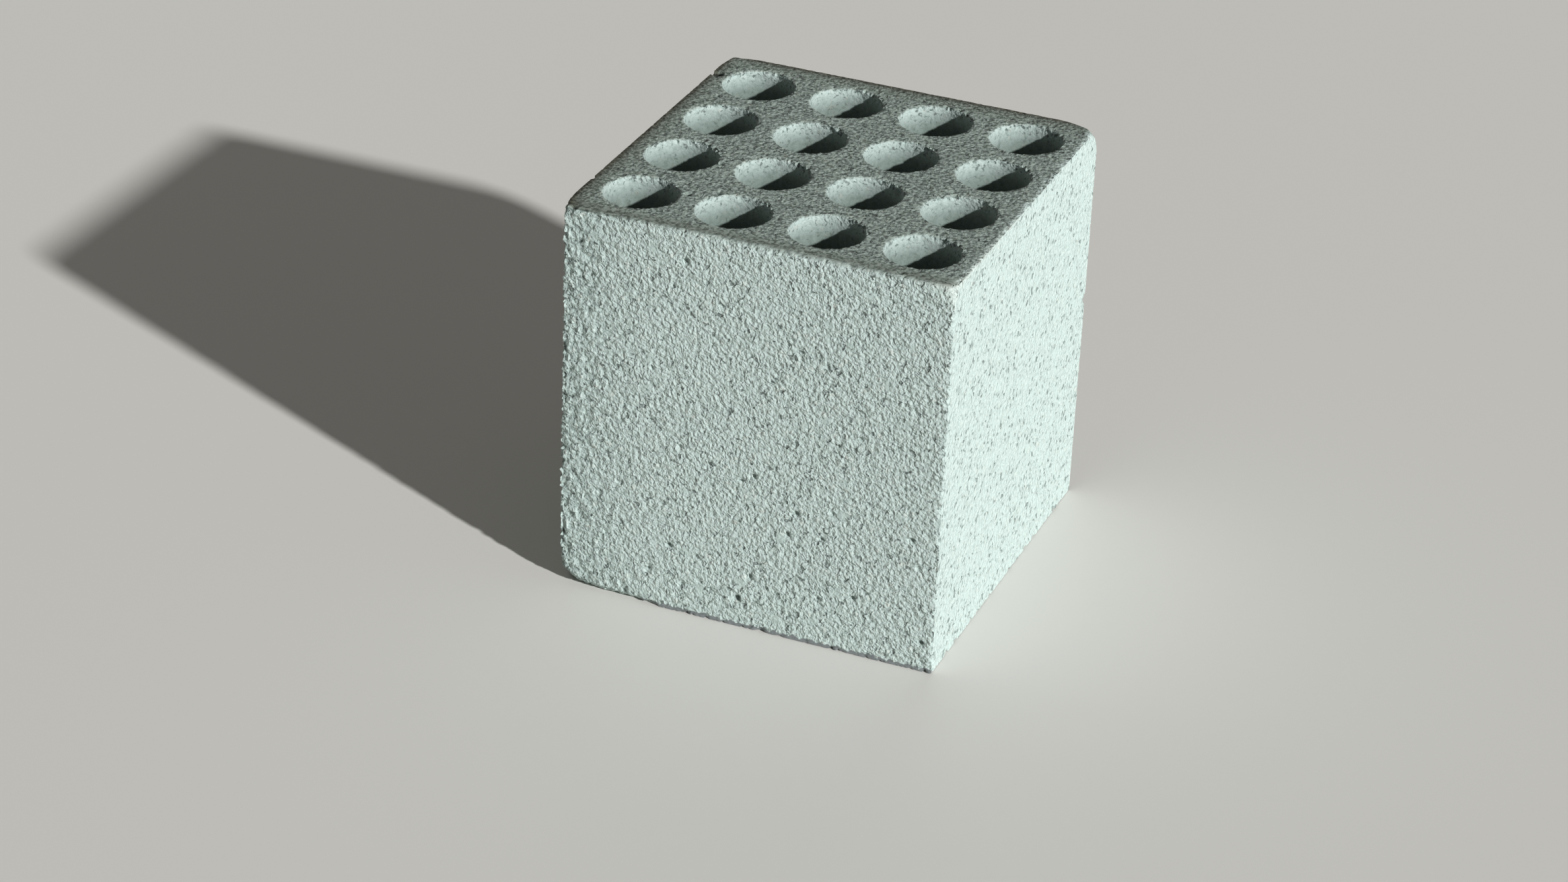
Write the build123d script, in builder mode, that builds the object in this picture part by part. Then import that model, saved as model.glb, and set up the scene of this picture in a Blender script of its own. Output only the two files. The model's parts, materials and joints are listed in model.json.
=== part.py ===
"""Perforated cement brick: one block of sand-cement mortar, cast in one pour, with a square grid
of round holes straight through it from the top bed to the bottom bed. Millimetres.

The origin is at the centre of the bottom bed. X runs along the front face, Y towards the back
and Z up, along the holes.
"""

import os

from build123d import *

# Block
brick_width = 78.0
brick_depth = 80.0
brick_height = 81.0

# Arrises, as the mould left them and handling wore them
corner_round = 0.6
top_arris_round = 0.5
bottom_arris_round = 0.5

# Holes: the mortar left outside the outer ones, and the least left between two
hole_diameter = 14.2
side_wall = 3.7
end_wall = 4.7
least_web = 3.0
top_mouth_bevel = 0.2
bottom_mouth_bevel = 0.2

# Each row holds as many holes as keep the least web, spread evenly from wall to wall
span_along_width = brick_width - 2 * side_wall
span_along_depth = brick_depth - 2 * end_wall
holes_along_width = int((span_along_width + least_web) // (hole_diameter + least_web))
holes_along_depth = int((span_along_depth + least_web) // (hole_diameter + least_web))

# A row of one hole has no pitch, so at least one gap is counted
pitch_along_width = (span_along_width - hole_diameter) / max(holes_along_width - 1, 1)
pitch_along_depth = (span_along_depth - hole_diameter) / max(holes_along_depth - 1, 1)

# The block is poured round straight cores, so its plan is one section with the holes left open
with BuildPart() as brick:
    with BuildSketch(Plane.XY) as plan:
        RectangleRounded(brick_width, brick_depth, corner_round)
        with GridLocations(pitch_along_width, pitch_along_depth, holes_along_width, holes_along_depth):
            Circle(hole_diameter / 2, mode=Mode.SUBTRACT)
    extrude(amount=brick_height)

    # The outline of each bed is a worn arris
    top_bed = brick.faces().sort_by(Axis.Z)[-1]
    fillet(top_bed.outer_wire().edges(), top_arris_round)
    bottom_bed = brick.faces().sort_by(Axis.Z)[0]
    fillet(bottom_bed.outer_wire().edges(), bottom_arris_round)

    # Each hole's mouth has lost its sharp edge where the core was drawn out
    top_bed = brick.faces().sort_by(Axis.Z)[-1]
    chamfer(top_bed.inner_wires().edges(), top_mouth_bevel)
    bottom_bed = brick.faces().sort_by(Axis.Z)[0]
    chamfer(bottom_bed.inner_wires().edges(), bottom_mouth_bevel)

brick.part.label = "perforated_brick"

os.makedirs("parts", exist_ok=True)
export_step(brick.part, "parts/perforated_brick.step")
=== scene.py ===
import itertools
import json
import math

import bpy
import numpy as np
from mathutils import Matrix, Vector


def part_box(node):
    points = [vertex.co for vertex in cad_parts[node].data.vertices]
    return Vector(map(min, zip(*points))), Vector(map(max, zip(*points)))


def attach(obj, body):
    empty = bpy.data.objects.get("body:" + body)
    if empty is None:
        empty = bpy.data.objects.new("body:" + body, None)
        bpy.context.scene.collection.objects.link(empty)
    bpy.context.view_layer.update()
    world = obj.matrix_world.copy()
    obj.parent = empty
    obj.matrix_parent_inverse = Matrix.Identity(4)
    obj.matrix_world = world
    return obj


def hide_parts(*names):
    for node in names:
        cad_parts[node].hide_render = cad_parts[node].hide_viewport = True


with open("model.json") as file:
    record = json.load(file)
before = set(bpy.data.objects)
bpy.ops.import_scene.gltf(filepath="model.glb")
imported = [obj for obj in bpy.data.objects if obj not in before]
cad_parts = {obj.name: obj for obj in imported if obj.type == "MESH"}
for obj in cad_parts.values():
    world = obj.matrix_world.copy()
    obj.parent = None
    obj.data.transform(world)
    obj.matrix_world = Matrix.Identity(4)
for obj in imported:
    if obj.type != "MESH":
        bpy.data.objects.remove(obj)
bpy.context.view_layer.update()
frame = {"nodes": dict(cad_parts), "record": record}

# The block
# One block of sand-cement mortar, poured into a mould round sixteen straight cores and struck off
# level. A fine skin over the frame's own block gives it that block's size, holes and eased edges.
MM = 0.001
skin_spacing = 0.45
node = "perforated_brick"
low, high = (np.array(corner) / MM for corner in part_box(node))
left, front, foot = low
right, back, top = high
bores = [mount for mount in frame["record"]["mounts"] if mount["kind"] == "bore"]
hole_radius = bores[0]["dims"]["r_mm"]
hole_columns = np.array(sorted({round(bore["pos_m"][0] / MM, 2) for bore in bores}))
hole_rows = np.array(sorted({round(bore["pos_m"][1] / MM, 2) for bore in bores}))


def modified(mesh, kind, **settings):
    """The mesh that one modifier makes of a mesh."""
    holder = bpy.data.objects.new("holder", mesh)
    bpy.context.collection.objects.link(holder)
    modifier = holder.modifiers.new(kind, kind)
    for name, value in settings.items():
        setattr(modifier, name, value)
    seen = holder.evaluated_get(bpy.context.evaluated_depsgraph_get())
    made = bpy.data.meshes.new_from_object(seen)
    bpy.data.objects.remove(holder)
    return made


def read(mesh, name):
    """A vector of every vertex, as rows of three."""
    values = np.empty(len(mesh.vertices) * 3, np.float32)
    mesh.vertices.foreach_get(name, values)
    return values.reshape(-1, 3).astype(float)


skin = modified(frame["nodes"][node].data.copy(), "REMESH", mode="VOXEL", voxel_size=skin_spacing * MM)
points = np.clip(read(skin, "co") / MM, low, high)
outward = read(skin, "normal")

# The cored holes
# Each hole is the print of a smooth round core, so its wall is a true cylinder, but the mouth broke
# open as the core came out: rough for the first few millimetres, and close and even below.
rough_mouth = 4.0
wall_band = 0.3
to_column = points[:, 0] - hole_columns[np.abs(points[:, :1] - hole_columns).argmin(1)]
to_row = points[:, 1] - hole_rows[np.abs(points[:, 1:2] - hole_rows).argmin(1)]
from_axis = np.hypot(to_column, to_row)
on_wall = np.clip((hole_radius + wall_band - from_axis) / wall_band, 0, 1)
to_round = on_wall * (hole_radius / np.maximum(from_axis, 1) - 1)
points[:, 0] += to_column * to_round
points[:, 1] += to_row * to_round

# The worn arrises
# The edges of the block came crisp from the mould and wore in handling. The wear is uneven: each edge
# is a rounding whose radius wanders, small at the right, and wide at the left and at broken corners.
open_depth = 9
edge_band = 1.0
usual_arris = 0.08
least_arris = 0.04
arris_swing = 3.0
random = np.random.default_rng(11)
lattice = 64
slopes = random.normal(size=(lattice, lattice, lattice, 3))
slopes /= np.linalg.norm(slopes, axis=3, keepdims=True)

# Where an edge wore more than usual: the place, its reach along each axis, and the added radius
worn_places = [
    ((left, front, foot), (5, 5, 4), 3.0),
    ((left, front, 40), (3, 3, 60), 0.6),
    ((left, front, top), (4, 4, 3), 0.9),
    ((right, back, top), (4, 4, 3), 3.0),
    ((right, front, top), (3, 3, 3), 1.2),
    ((left, back, top), (4, 4, 6), 1.2),
    ((8, front, top), (26, 3, 3), 1.3),
]

# The foot of the front is broken away from the left corner up to here, and by this much
broken_foot_end = -19
broken_foot_arris = 2.0


def relief(places, spacing):
    """Smooth random heights in space, about -1 to 1, with bumps about two spacings apart."""
    cell = np.floor(places / spacing).astype(int)
    inside = places / spacing - cell
    ease = inside ** 3 * (inside * (inside * 6 - 15) + 10)
    total = np.zeros(len(places))
    for corner in itertools.product((0, 1), repeat=3):
        slope = slopes[tuple(((cell + corner) % lattice).T)]
        share = np.prod(np.where(corner, ease, 1 - ease), axis=1)
        total += share * ((inside - corner) * slope).sum(1)
    return total * 1.6


def near(places, centre, reach):
    """One at a place and fading to nothing about two reaches away from it."""
    return np.exp(-(((places - centre) / reach) ** 2).sum(1))


# Only the faces and the first stretch of each hole are worked on
from_beds = np.minimum(points[:, 2] - foot, top - points[:, 2])
open_air = np.flatnonzero((on_wall < 1) | (from_beds < open_depth))
rough = points[open_air]
facing = outward[open_air]
wall = on_wall[open_air]

# The skin cuts the upright corners and the arrises a little, so the points there go out to the faces again
past_band = rough - np.clip(rough, low + edge_band, high - edge_band)
furthest = np.abs(past_band).max(1)
beside = np.abs(past_band[:, :2]).max(1) > 0
rough[beside] += past_band[beside] * (edge_band / furthest[beside] - 1)[:, None]

# Each edge is then rounded by its own radius
arris = usual_arris + usual_arris * relief(rough, arris_swing)
for centre, reach, added in worn_places:
    arris += added * near(rough, centre, reach)
broken_foot = np.clip((broken_foot_end - rough[:, 0]) / 3, 0, 1)
arris += broken_foot_arris * near(rough, low, (90, 4, 4)) * broken_foot
arris = np.maximum(arris, least_arris)[:, None]
to_faces = np.sort(np.minimum(rough - low, high - rough), axis=1)
at_edge = np.exp(-(to_faces[:, 1] / (0.5 + 0.7 * arris[:, 0])) ** 2) * (1 - wall)
out_of_core = rough - np.clip(rough, low + arris, high - arris)
reach_out = np.maximum(np.linalg.norm(out_of_core, axis=1, keepdims=True), 1e-6)
rough -= out_of_core * np.maximum(0, 1 - arris / reach_out)

# The chips
# Knocks took scoops out of the edges, most of them from the left upright corner and the foot of the
# front. Each is a hollow of a ball's shape: where its middle stands in the air, and its radius.
chips = [
    ((-39.8, -26.0, 81.6), 1.5),
    ((-40.1, -39.9, 60.5), 1.7),
    ((-40.2, -40.4, 56.5), 1.7),
    ((-40.2, -40.2, 26.0), 1.6),
    ((-40.0, -40.6, 6.5), 1.8),
    ((-19.0, -41.0, -0.6), 1.8),
    ((-12.0, -40.8, -0.5), 1.4),
    ((4.0, -41.0, -0.4), 1.6),
    ((40.0, 12.0, 81.8), 1.5),
    ((40.1, 40.3, 44.0), 1.7),
    ((-39.8, 40.6, 22.0), 2.0),
    ((13.6, -4.3, 79.3), 1.2),
]
raggedness = 1 + 0.25 * relief(rough, 1.1)
for middle, radius in chips:
    from_middle = rough - middle
    distance = np.linalg.norm(from_middle, axis=1)
    held = distance < radius * raggedness
    push = radius * raggedness / np.maximum(distance, 0.05) - 1
    rough[held] += (from_middle * push[:, None])[held]

# The open sand surface
# The mortar is lean, so sand grains of about a millimetre stand out and the paste sinks between them.
# All of this relief goes inward from the mould's face, and least in the depth of the holes.
fine_sand = 0.62
coarse_sand = 0.95
face_sink = 0.13
left_sink = 0.6
wall_sink = 0.02
mouth_sink = 0.07
nibble_depth = 0.8
edge_rag = 0.1
handled_rag = 0.5
mouth_rag = 0.8
below_top = top - rough[:, 2]
from_end = np.minimum(below_top, rough[:, 2] - foot)
grain = 0.6 * relief(rough, fine_sand) + 0.5 * relief(rough + 31, coarse_sand)
broken = np.clip((rough_mouth + 1.6 * relief(rough, 2.4) - from_end) / 1.5, 0, 1)
left_front = np.exp(-((rough[:, 0] - left) / 12) ** 2 - ((rough[:, 1] - front) / 2) ** 2)
face_depth = face_sink * (1 - at_edge) + left_sink * left_front
depth = (1 - wall) * face_depth + wall * (wall_sink + mouth_sink * broken)
pit = np.clip(0.5 + 0.75 * grain, 0, 1) * depth

# The left upright corner is nibbled, and the handled edges and the far side of each mouth are ragged.
# A number added to the places takes the relief from another part of the lattice.
nibbled = at_edge * near(rough, (left, front, 40), (18, 4, 90))
pit += nibbled * np.clip(1.6 * relief(rough + 11, 1.2), 0, 1) * nibble_depth
handled = (np.minimum(rough[:, 1] - front, right - rough[:, 0]) < 2) & (back - rough[:, 1] > 3)
ragged = np.clip(1.6 * relief(rough + 23, 0.7) - 0.2, 0, 1)
pit += at_edge * ragged * (edge_rag + handled_rag * handled)
mouth = np.exp(-((from_axis[open_air] - hole_radius) / 0.7) ** 2 - (from_end / 0.9) ** 2)
far_side = np.clip(0.4 + 0.8 * (to_row / from_axis)[open_air], 0, 1)
pit += mouth * far_side * np.clip(1.8 * relief(rough + 57, 0.8) - 0.2, 0, 1) * mouth_rag

# The air pores
# Bubbles trapped against the mould left round pores of a millimetre or two, scattered over every
# side. The larger ones on the front and the top stand where they are seen: the place and the radius.
pores_per_side = 70
pore_warp = 0.35
front_pores = [
    (-1.1, 6.1, 0.85), (8.7, 22.6, 0.7), (1.2, 11.5, 0.65), (-13.8, 74.8, 0.7), (-30.3, 22.2, 0.65),
    (15.5, 23.2, 0.6), (-6.2, 67.1, 0.55), (10.0, 61.3, 0.6), (22.5, 46.3, 0.5), (36.5, 6.0, 0.75),
    (-20.0, 51.3, 0.5), (-1.0, 31.7, 0.55), (31.5, 37.8, 0.5), (22.3, 12.2, 0.65), (15.3, 10.2, 0.55),
    (-2.0, 29.7, 0.5), (-19.8, 7.9, 0.6), (-6.7, 6.7, 0.5),
]
top_pores = [(-37.9, 29.8, 1.35), (-20.0, -25.0, 0.8), (27.7, -38.4, 0.7)]
pores = [(np.array((x, front, z)), radius) for x, z, radius in front_pores]
pores += [(np.array((x, y, top)), radius) for x, y, radius in top_pores]
for axis, end in itertools.product(range(3), (low, high)):
    for spot in random.uniform(low + 1.5, high - 1.5, (pores_per_side, 3)):
        spot[axis] = end[axis]
        pores.append((spot, 0.3 + 0.4 * random.random() ** 3))
warped = rough + pore_warp * facing[:, [1, 2, 0]] * grain[:, None]
for spot, radius in pores:
    distance = np.linalg.norm(warped - spot, axis=1) / radius
    scoop = np.clip(1 - distance ** 2, 0, 1) ** 0.6 * radius * (1 - wall)
    pit = np.maximum(pit, scoop + 0.5 * pit)
rough -= facing * pit[:, None]
points[open_air] = rough

# The dark skin
# Laitance and dust darkened the struck top. The skin ends raggedly: it runs a little over the middle of
# the front edge, is rubbed off along the right one, and is darkest along the left and the back, where
# a thin line of painted shade also runs along the arrises.
run_middle = 8
run_half = 26
bare_reach = 1.0
dust_reach = 2.2
edge_shade_width = 0.6
rubbed_share = 0.25
over_front = np.exp(-((rough[:, 1] - front) / 3) ** 2)
run = over_front * np.exp(-((rough[:, 0] - run_middle) / run_half) ** 4)
skin_edge = 0.6 + 0.3 * relief(rough, 0.9) + 0.9 * run
top_skin = np.clip((skin_edge - below_top) / 0.4, 0, 1) * (1 - wall)
across_edge = below_top - np.minimum(rough[:, 1] - front, 4)
front_limit = 0.3 * relief(rough, 3.0) - 0.1 - 0.3 * run
fade = 0.6 + 1.9 * run
top_skin *= np.clip(0.5 + (front_limit - across_edge) / fade, 0, 1) ** over_front
from_right = right - rough[:, 0]
bare = np.exp(-(from_right / bare_reach) ** 2) + 0.8 * relief(rough, 0.7)
top_skin *= 1 - np.clip((bare - 0.55) / 0.2, 0, 1) * (from_right < 3)
left_and_back = np.minimum(rough[:, 0] - left, back - rough[:, 1])
front_band = top_skin * np.exp(-((rough[:, 1] - front - 1.5) / 2) ** 2)
# Dust along the left and back and over the front band, plus a thin line of painted shade on the left and
# back arrises
dust_and_edge_shade = top_skin * np.exp(-left_and_back / dust_reach) + 0.4 * front_band
painted_edge_shade = np.exp(-(left_and_back / edge_shade_width) ** 2) * np.clip(1.5 - below_top / 0.5, 0, 1)
dust_and_edge_shade = np.clip(dust_and_edge_shade + painted_edge_shade, 0, 1)
rubbed = rubbed_share * at_edge * near(rough, (right, front, top), (5, 35, 4))

# The finished mesh
# The skin is thinned until it holds no more triangles than the relief needs, which leaves them where
# the grain is and takes them from the smooth depth of the holes.
triangles_kept = 195000
sharp_edge = math.radians(45)
wall_shade_depth = 4.6
skin.vertices.foreach_set("co", (np.clip(points, low, high) * MM).astype(np.float32).ravel())
shares = {
    "pit": pit,
    "top_skin": top_skin,
    "edge_dust": dust_and_edge_shade,
    "hole_wall": wall,
    "worn_edge": rubbed,
    "front_band": front_band,
    # Painted shade on the hole walls, deepening from the mouth downward
    "wall_shade": wall * np.clip(0.05 + from_end / wall_shade_depth, 0, 1),
}
for name, values in shares.items():
    every = on_wall.copy() if name in ("hole_wall", "wall_shade") else np.zeros(len(points))
    every[open_air] = values
    skin.attributes.new(name, "FLOAT", "POINT").data.foreach_set("value", every.astype(np.float32))
thinned = modified(skin, "DECIMATE", ratio=triangles_kept / (2 * len(skin.polygons)))
thinned.name = "mortar_block"
kept = np.clip(read(thinned, "co") / MM, low, high) * MM
thinned.vertices.foreach_set("co", kept.astype(np.float32).ravel())
thinned.shade_smooth()
thinned.set_sharp_from_angle(angle=sharp_edge)
brick = bpy.data.objects.new("mortar_block", thinned)
bpy.context.collection.objects.link(brick)
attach(brick, "root")
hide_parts(node)

# The mortar
# Grey-green cement paste with washed sand, left as it came from the mould. It is wholly matt: the
# eye gets pale domed grains, dark seams between them and darker pits, both painted shade, and a greyer,
# dustier top.
paste_pale = "#BBCAC6"
# Painted shade in the seams, hollows and sunken places between the grains
paste_painted_shade = "#95A6A1"
# Painted shade in the pits, pores and specks
pit_painted_shade = "#4C5753"
grain_grey = "#A3AEA9"
grain_warm = "#C6C4B9"
stone_grey = "#B2C3BE"
top_pale = "#D6D7D2"
top_dark = "#8D8D89"
# Dust at the top's edges, and the painted shade line along its left and back arrises
dust_and_shade_tone = "#958B80"
# Painted shade deep in the holes
wall_painted_shade = "#9CA09C"
# Painted shade along the foot of the front
foot_painted_shade = "#A8A3A7"
worn_cream = "#CFD0C6"
mortar_roughness = 0.92
mortar_ior = 1.5
sand_size = 0.9
sand_sway = 0.35
sway_size = 0.7
grit_size = 0.42
stone_spacing = 4.0
small_pit_size = 1.1
fleck_size = 0.75
wrinkle_size = 0.95
patch_size = 3.5
relief_height = 0.87


def linear(code):
    """A hex sRGB colour as linear red, green, blue and alpha."""
    parts = [int(code[start:start + 2], 16) / 255 for start in (1, 3, 5)]
    return [part / 12.92 if part <= 0.04045 else ((part + 0.055) / 1.055) ** 2.4 for part in parts] + [1]


def add_node(tree, kind, settings=None, inputs=None):
    """Adds a node with its properties and its inputs: a value, or a node and the output it comes from."""
    made = tree.nodes.new(kind)
    for name, value in (settings or {}).items():
        setattr(made, name, value)
    for name, value in (inputs or {}).items():
        socket = next(socket for socket in made.inputs if socket.identifier == name)
        if isinstance(value, tuple) and hasattr(value[0], "outputs"):
            source, output = value
            tree.links.new(next(end for end in source.outputs if end.identifier == output), socket)
        else:
            socket.default_value = value
    return made


mortar = bpy.data.materials.new("sand_cement_mortar")
mortar.use_nodes = True
tree = mortar.node_tree
tree.nodes.clear()
place = add_node(tree, "ShaderNodeTexCoord")
pit_depth = add_node(tree, "ShaderNodeAttribute", {"attribute_name": "pit"})
skin_share = add_node(tree, "ShaderNodeAttribute", {"attribute_name": "top_skin"})
dust_and_shade_share = add_node(tree, "ShaderNodeAttribute", {"attribute_name": "edge_dust"})
wall_share = add_node(tree, "ShaderNodeAttribute", {"attribute_name": "hole_wall"})
shade_share = add_node(tree, "ShaderNodeAttribute", {"attribute_name": "wall_shade"})
worn_share = add_node(tree, "ShaderNodeAttribute", {"attribute_name": "worn_edge"})
band_share = add_node(tree, "ShaderNodeAttribute", {"attribute_name": "front_band"})

# Sand grains: domes about a millimetre across, no two alike, with narrow seams where they meet.
# The seams, the hollows of the grit and the sunken places are painted in a darker paste as shade.
sway = add_node(tree, "ShaderNodeTexNoise", None, {
    "Vector": (place, "Object"), "Scale": 1 / (sway_size * MM), "Detail": 1.0})
grain_place = add_node(tree, "ShaderNodeVectorMath", {"operation": "MULTIPLY_ADD"}, {
    "Vector": (sway, "Color"), "Vector_001": (sand_sway * MM, sand_sway * MM, sand_sway * MM),
    "Vector_002": (place, "Object")})
sand = add_node(tree, "ShaderNodeTexVoronoi", None, {
    "Vector": (grain_place, "Vector"), "Scale": 1 / (sand_size * MM), "Detail": 1.0, "Roughness": 0.35,
    "Lacunarity": 2.1, "Randomness": 1.0})
grit = add_node(tree, "ShaderNodeTexNoise", None, {
    "Vector": (place, "Object"), "Scale": 1 / (grit_size * MM), "Detail": 2.0, "Roughness": 0.5})
seam = add_node(tree, "ShaderNodeMapRange", {"interpolation_type": "SMOOTHSTEP"}, {
    "Value": (sand, "Distance"), "From Min": 0.7, "From Max": 0.95})
hollow = add_node(tree, "ShaderNodeMapRange", {"interpolation_type": "SMOOTHSTEP"}, {
    "Value": (grit, "Fac"), "From Min": 0.34, "From Max": 0.52, "To Min": 1.0, "To Max": 0.0})
sunk = add_node(tree, "ShaderNodeMapRange", None, {
    "Value": (pit_depth, "Fac"), "From Min": 0.10, "From Max": 0.45, "To Max": 0.4})
seam_and_sunk_shade = add_node(tree, "ShaderNodeMath", {"operation": "MULTIPLY_ADD"}, {
    "Value": (seam, "Result"), "Value_001": 0.3, "Value_002": (sunk, "Result")})
paste_shade_share = add_node(tree, "ShaderNodeMath", {"operation": "MULTIPLY_ADD", "use_clamp": True}, {
    "Value": (hollow, "Result"), "Value_001": 0.25, "Value_002": (seam_and_sunk_shade, "Value")})
paste = add_node(tree, "ShaderNodeMix", {"data_type": "RGBA"}, {
    "Factor_Float": (paste_shade_share, "Value"), "A_Color": linear(paste_pale), "B_Color": linear(paste_painted_shade)})

# A few grains are of grey or warm stone
sand_kind = add_node(tree, "ShaderNodeSeparateColor", None, {"Color": (sand, "Color")})
grey_share = add_node(tree, "ShaderNodeMapRange", None, {
    "Value": (sand_kind, "Red"), "From Min": 1.1, "From Max": 1.16, "To Max": 0.2})
with_grey = add_node(tree, "ShaderNodeMix", {"data_type": "RGBA"}, {
    "Factor_Float": (grey_share, "Result"), "A_Color": (paste, "Result_Color"),
    "B_Color": linear(grain_grey)})
warm_share = add_node(tree, "ShaderNodeMapRange", None, {
    "Value": (sand_kind, "Green"), "From Min": 1.2, "From Max": 1.24, "To Max": 0.3})
with_warm = add_node(tree, "ShaderNodeMix", {"data_type": "RGBA"}, {
    "Factor_Float": (warm_share, "Result"), "A_Color": (with_grey, "Result_Color"),
    "B_Color": linear(grain_warm)})

# A few larger stones, about two millimetres across, lie flush in the faces and are smoother than the rest
stones = add_node(tree, "ShaderNodeTexVoronoi", None, {
    "Vector": (grain_place, "Vector"), "Scale": 1 / (stone_spacing * MM), "Randomness": 1.0})
stone_kind = add_node(tree, "ShaderNodeSeparateColor", None, {"Color": (stones, "Color")})
stone_chosen = add_node(tree, "ShaderNodeMapRange", None, {
    "Value": (stone_kind, "Red"), "From Min": 0.72, "From Max": 0.74})
stone_round = add_node(tree, "ShaderNodeMapRange", None, {
    "Value": (stones, "Distance"), "From Min": 0.22, "From Max": 0.29, "To Min": 0.65, "To Max": 0.0})
stone_share = add_node(tree, "ShaderNodeMath", {"operation": "MULTIPLY"}, {
    "Value": (stone_chosen, "Result"), "Value_001": (stone_round, "Result")})
with_stones = add_node(tree, "ShaderNodeMix", {"data_type": "RGBA"}, {
    "Factor_Float": (stone_share, "Value"), "A_Color": (with_warm, "Result_Color"),
    "B_Color": linear(stone_grey)})

# Small pits between the grains, of no one shape or direction, and specks on the walls near the mouths.
# Pits, pores and specks are painted dark as the shade in them, more faintly deeper in the holes.
crumb = add_node(tree, "ShaderNodeTexNoise", None, {
    "Vector": (place, "Object"), "Scale": 1 / (small_pit_size * MM), "Detail": 1.0, "Distortion": 0.4})
small_pit = add_node(tree, "ShaderNodeMapRange", None, {
    "Value": (crumb, "Fac"), "From Min": 0.27, "From Max": 0.37, "To Min": 1.0, "To Max": 0.0})
pore = add_node(tree, "ShaderNodeMapRange", None, {
    "Value": (pit_depth, "Fac"), "From Min": 0.42, "From Max": 0.8})
fleck = add_node(tree, "ShaderNodeTexNoise", None, {
    "Vector": (place, "Object"), "Scale": 1 / (fleck_size * MM), "Detail": 2.0, "Roughness": 0.5,
    "Distortion": 0.5})
fleck_depth = add_node(tree, "ShaderNodeMath", {"operation": "MULTIPLY_ADD"}, {
    "Value": (shade_share, "Fac"), "Value_001": 0.05, "Value_002": (fleck, "Fac")})
speck = add_node(tree, "ShaderNodeMapRange", {"interpolation_type": "SMOOTHSTEP"}, {
    "Value": (fleck_depth, "Value"), "From Min": 0.37, "From Max": 0.40, "To Min": 1.0, "To Max": 0.0})
wall_speck = add_node(tree, "ShaderNodeMath", {"operation": "MULTIPLY"}, {
    "Value": (speck, "Result"), "Value_001": (wall_share, "Fac")})
pit_or_speck = add_node(tree, "ShaderNodeMath", {"operation": "MULTIPLY_ADD", "use_clamp": True}, {
    "Value": (small_pit, "Result"), "Value_001": 0.68, "Value_002": (wall_speck, "Value")})
pit_shade_share = add_node(tree, "ShaderNodeMath", {"operation": "MAXIMUM"}, {
    "Value": (pit_or_speck, "Value"), "Value_001": (pore, "Result")})
open_part = add_node(tree, "ShaderNodeMapRange", None, {
    "Value": (shade_share, "Fac"), "From Min": 0.15, "From Max": 0.75, "To Min": 0.85, "To Max": 0.4})
pit_shade_part = add_node(tree, "ShaderNodeMath", {"operation": "MULTIPLY"}, {
    "Value": (pit_shade_share, "Value"), "Value_001": (open_part, "Result")})
with_pit_shade = add_node(tree, "ShaderNodeMix", {"data_type": "RGBA"}, {
    "Factor_Float": (pit_shade_part, "Value"), "A_Color": (with_stones, "Result_Color"),
    "B_Color": linear(pit_painted_shade)})

# The skin of the top, the dust and the painted shade line at its edges, and painted shade deepening down the
# hole walls
fleck_share = add_node(tree, "ShaderNodeMapRange", {"interpolation_type": "SMOOTHSTEP"}, {
    "Value": (fleck, "Fac"), "From Min": 0.38, "From Max": 0.58})
top_tone = add_node(tree, "ShaderNodeMix", {"data_type": "RGBA"}, {
    "Factor_Float": (fleck_share, "Result"), "A_Color": linear(top_dark), "B_Color": linear(top_pale)})
with_skin = add_node(tree, "ShaderNodeMix", {"data_type": "RGBA", "blend_type": "MULTIPLY"}, {
    "Factor_Float": (skin_share, "Fac"), "A_Color": (with_pit_shade, "Result_Color"),
    "B_Color": (top_tone, "Result_Color")})
with_dust_and_shade = add_node(tree, "ShaderNodeMix", {"data_type": "RGBA", "blend_type": "MULTIPLY"}, {
    "Factor_Float": (dust_and_shade_share, "Fac"), "A_Color": (with_skin, "Result_Color"),
    "B_Color": linear(dust_and_shade_tone)})
with_wall_shade = add_node(tree, "ShaderNodeMix", {"data_type": "RGBA", "blend_type": "MULTIPLY"}, {
    "Factor_Float": (shade_share, "Fac"), "A_Color": (with_dust_and_shade, "Result_Color"),
    "B_Color": linear(wall_painted_shade)})

# The foot of the front: a smooth band about a millimetre high with a ragged top, painted darker grey as
# shade
foot_place = add_node(tree, "ShaderNodeVectorMath", {"operation": "MULTIPLY_ADD"}, {
    "Vector": (crumb, "Color"), "Vector_001": (2 * MM, 0, 1.8 * MM), "Vector_002": (place, "Object")})
foot_spot = add_node(tree, "ShaderNodeSeparateXYZ", None, {"Vector": (foot_place, "Vector")})
foot_height = add_node(tree, "ShaderNodeMapRange", None, {
    "Value": (foot_spot, "Z"), "From Min": 1.65 * MM, "From Max": 1.8 * MM, "To Min": 1.0, "To Max": 0.0})
foot_start = add_node(tree, "ShaderNodeMapRange", None, {
    "Value": (foot_spot, "X"), "From Min": -21.0 * MM, "From Max": -20.0 * MM})
foot_front = add_node(tree, "ShaderNodeMapRange", None, {
    "Value": (foot_spot, "Y"), "From Min": -39.6 * MM, "From Max": -39.0 * MM, "To Min": 1.0, "To Max": 0.0})
foot_length = add_node(tree, "ShaderNodeMath", {"operation": "MULTIPLY"}, {
    "Value": (foot_start, "Result"), "Value_001": (foot_front, "Result")})
foot_shade_share = add_node(tree, "ShaderNodeMath", {"operation": "MULTIPLY"}, {
    "Value": (foot_height, "Result"), "Value_001": (foot_length, "Value")})
with_foot_shade = add_node(tree, "ShaderNodeMix", {"data_type": "RGBA", "blend_type": "MULTIPLY"}, {
    "Factor_Float": (foot_shade_share, "Value"), "A_Color": (with_wall_shade, "Result_Color"),
    "B_Color": linear(foot_painted_shade)})

# The worn edge at the right of the top, rubbed down to paler, creamier mortar
with_worn = add_node(tree, "ShaderNodeMix", {"data_type": "RGBA"}, {
    "Factor_Float": (worn_share, "Fac"), "A_Color": (with_foot_shade, "Result_Color"),
    "B_Color": linear(worn_cream)})

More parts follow.
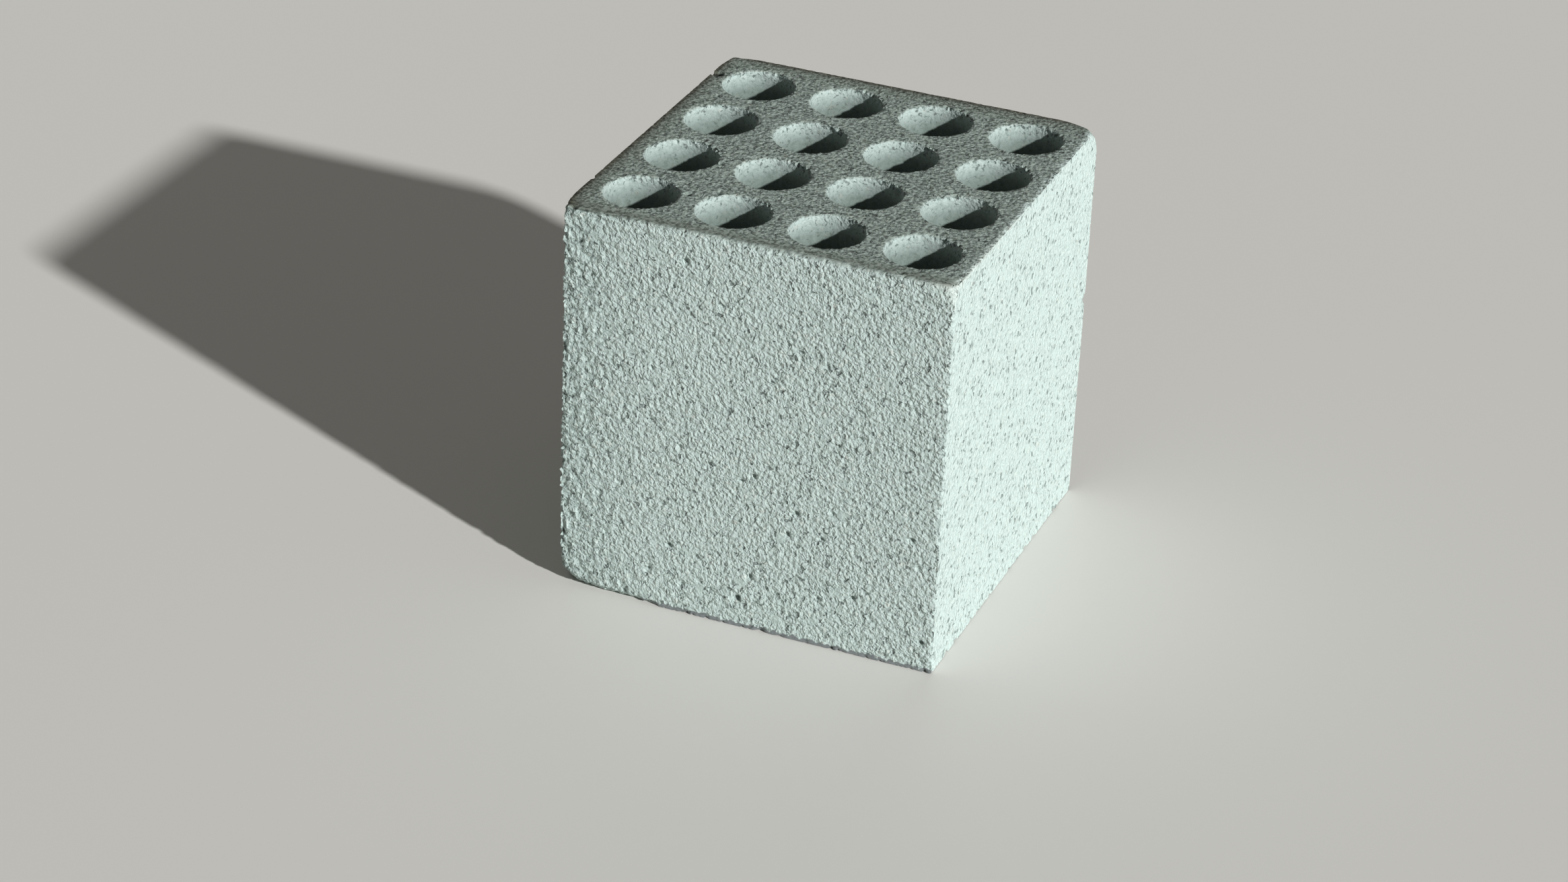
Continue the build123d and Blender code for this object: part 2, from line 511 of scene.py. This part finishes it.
# Relief finer than the mesh, as shares of its height: wrinkles, domes, grit and small pits
wrinkle = add_node(tree, "ShaderNodeTexNoise", None, {
    "Vector": (place, "Object"), "Scale": 1 / (wrinkle_size * MM), "Detail": 1.0, "Roughness": 0.5,
    "Distortion": 0.6})
wrinkles = add_node(tree, "ShaderNodeMath", {"operation": "MULTIPLY"}, {
    "Value": (wrinkle, "Fac"), "Value_001": 0.6})
domes = add_node(tree, "ShaderNodeMath", {"operation": "MULTIPLY_ADD"}, {
    "Value": (sand, "Distance"), "Value_001": -0.34, "Value_002": (wrinkles, "Value")})
gritty = add_node(tree, "ShaderNodeMath", {"operation": "MULTIPLY_ADD"}, {
    "Value": (grit, "Fac"), "Value_001": 0.26, "Value_002": (domes, "Value")})
pitted = add_node(tree, "ShaderNodeMath", {"operation": "MULTIPLY_ADD"}, {
    "Value": (small_pit, "Result"), "Value_001": -0.45, "Value_002": (gritty, "Value")})

# It is faint on the walls of the holes, the struck top, the band at its front, the foot and the stones
wall_part = add_node(tree, "ShaderNodeMath", {"operation": "MULTIPLY_ADD"}, {
    "Value": (wall_share, "Fac"), "Value_001": 0.3, "Value_002": (shade_share, "Fac")})
band_part = add_node(tree, "ShaderNodeMath", {"operation": "MULTIPLY_ADD"}, {
    "Value": (band_share, "Fac"), "Value_001": 0.7, "Value_002": (wall_part, "Value")})
struck_part = add_node(tree, "ShaderNodeMath", {"operation": "MULTIPLY_ADD"}, {
    "Value": (skin_share, "Fac"), "Value_001": 0.5, "Value_002": (band_part, "Value")})
close_part = add_node(tree, "ShaderNodeMath", {"operation": "MAXIMUM"}, {
    "Value": (struck_part, "Value"), "Value_001": (foot_shade_share, "Value")})
smooth_part = add_node(tree, "ShaderNodeMath", {"operation": "MAXIMUM"}, {
    "Value": (close_part, "Value"), "Value_001": (stone_share, "Value")})
rough_share = add_node(tree, "ShaderNodeMapRange", None, {
    "Value": (smooth_part, "Value"), "To Min": 1.0, "To Max": 0.15})
patch = add_node(tree, "ShaderNodeTexNoise", None, {
    "Vector": (place, "Object"), "Scale": 1 / (patch_size * MM), "Detail": 1.0})
patch_share = add_node(tree, "ShaderNodeMapRange", None, {
    "Value": (patch, "Fac"), "From Min": 0.35, "From Max": 0.65, "To Min": 0.75, "To Max": 1.0})
relief_share = add_node(tree, "ShaderNodeMath", {"operation": "MULTIPLY"}, {
    "Value": (rough_share, "Result"), "Value_001": (patch_share, "Result")})
bump = add_node(tree, "ShaderNodeBump", None, {
    "Strength": (relief_share, "Value"), "Distance": relief_height * MM, "Height": (pitted, "Value")})
surface = add_node(tree, "ShaderNodeBsdfPrincipled", None, {
    "Base Color": (with_worn, "Result_Color"), "Roughness": mortar_roughness, "IOR": mortar_ior,
    "Specular IOR Level": 0.2, "Normal": (bump, "Normal")})
add_node(tree, "ShaderNodeOutputMaterial", None, {"Surface": (surface, "BSDF")})
brick.data.materials.clear()
brick.data.materials.append(mortar)

# The floor
# A wide, plain sheet of pale matt laminate for the block to stand on. It has no pattern, so that only
# the block's own shadow and the light it throws back are seen on it.
floor_tone = "#D7D6D1"
floor_half = 3.0
floor_mesh = bpy.data.meshes.new("floor")
floor_corners = [(-floor_half, -floor_half, 0), (floor_half, -floor_half, 0),
                 (floor_half, floor_half, 0), (-floor_half, floor_half, 0)]
floor_mesh.from_pydata(floor_corners, [], [(0, 1, 2, 3)])
floor = bpy.data.objects.new("floor", floor_mesh)
bpy.context.collection.objects.link(floor)
laminate = bpy.data.materials.new("pale_laminate")
laminate.use_nodes = True
laminate.node_tree.nodes.clear()
laminate_surface = add_node(laminate.node_tree, "ShaderNodeBsdfPrincipled", None, {
    "Base Color": linear(floor_tone), "Roughness": 0.5, "IOR": 1.46})
add_node(laminate.node_tree, "ShaderNodeOutputMaterial", None, {"Surface": (laminate_surface, "BSDF")})
floor_mesh.materials.append(laminate)

# The light
# One key light stands low at the right, a little to the front, and an even pale room fills the
# shadows. A level of one on a lit white sheet is white.
key_elevation = math.radians(23.8)
key_azimuth = math.radians(-25.0)
key_level = 1.52
key_softness = math.radians(2.0)
room_level = 0.13
room_tone = "#F4F1EC"
backdrop_tone = "#C9C6C0"
key = bpy.data.lights.new("key", "SUN")
key.energy = key_level * math.pi
key.angle = key_softness
key_lamp = bpy.data.objects.new("key", key)
to_key = Vector((math.cos(key_azimuth) * math.cos(key_elevation),
                 math.sin(key_azimuth) * math.cos(key_elevation), math.sin(key_elevation)))
key_lamp.rotation_mode = "QUATERNION"
key_lamp.rotation_quaternion = to_key.to_track_quat("Z", "Y")
bpy.context.collection.objects.link(key_lamp)
world = bpy.data.worlds.new("room")
bpy.context.scene.world = world
world.use_nodes = True
world.node_tree.nodes.clear()
light_path = add_node(world.node_tree, "ShaderNodeLightPath")
room = add_node(world.node_tree, "ShaderNodeBackground", None, {
    "Color": linear(room_tone), "Strength": room_level})
backdrop = add_node(world.node_tree, "ShaderNodeBackground", None, {
    "Color": linear(backdrop_tone), "Strength": 1.0})
seen_or_glossy = add_node(world.node_tree, "ShaderNodeMath", {"operation": "MAXIMUM"}, {
    "Value": (light_path, "Is Camera Ray"), "Value_001": (light_path, "Is Glossy Ray")})
seen_at_all = add_node(world.node_tree, "ShaderNodeMath", {"operation": "MAXIMUM"}, {
    "Value": (seen_or_glossy, "Value"), "Value_001": (light_path, "Is Transmission Ray")})
seen_room = add_node(world.node_tree, "ShaderNodeMixShader", None, {
    "Fac": (seen_at_all, "Value"), "Shader": (room, "Background"), "Shader_001": (backdrop, "Background")})
add_node(world.node_tree, "ShaderNodeOutputWorld", None, {"Surface": (seen_room, "Shader")})
bpy.context.scene.view_settings.view_transform = "Standard"

# The camera
# The view looks down on the front and right sides from the right, with a long lens and a slight lean.
# Its target and its distance are in millimetres.
camera_azimuth = math.radians(21.43)
camera_elevation = math.radians(28.29)
camera_lean = math.radians(2.45)
camera_distance = 794.2
camera_target = Vector((-8.48, 0, 19.18))
camera_data = bpy.data.cameras.new("camera")
camera_data.sensor_width = 36
camera_data.lens = 91.95
camera = bpy.data.objects.new("camera", camera_data)
towards_camera = Vector((math.sin(camera_azimuth) * math.cos(camera_elevation),
                         -math.cos(camera_azimuth) * math.cos(camera_elevation), math.sin(camera_elevation)))
aim = towards_camera.to_track_quat("Z", "Y").to_matrix().to_4x4()
stand = Matrix.Translation((camera_target + towards_camera * camera_distance) * MM)
camera.matrix_world = stand @ aim @ Matrix.Rotation(camera_lean, 4, "Z")
bpy.context.collection.objects.link(camera)
bpy.context.scene.camera = camera
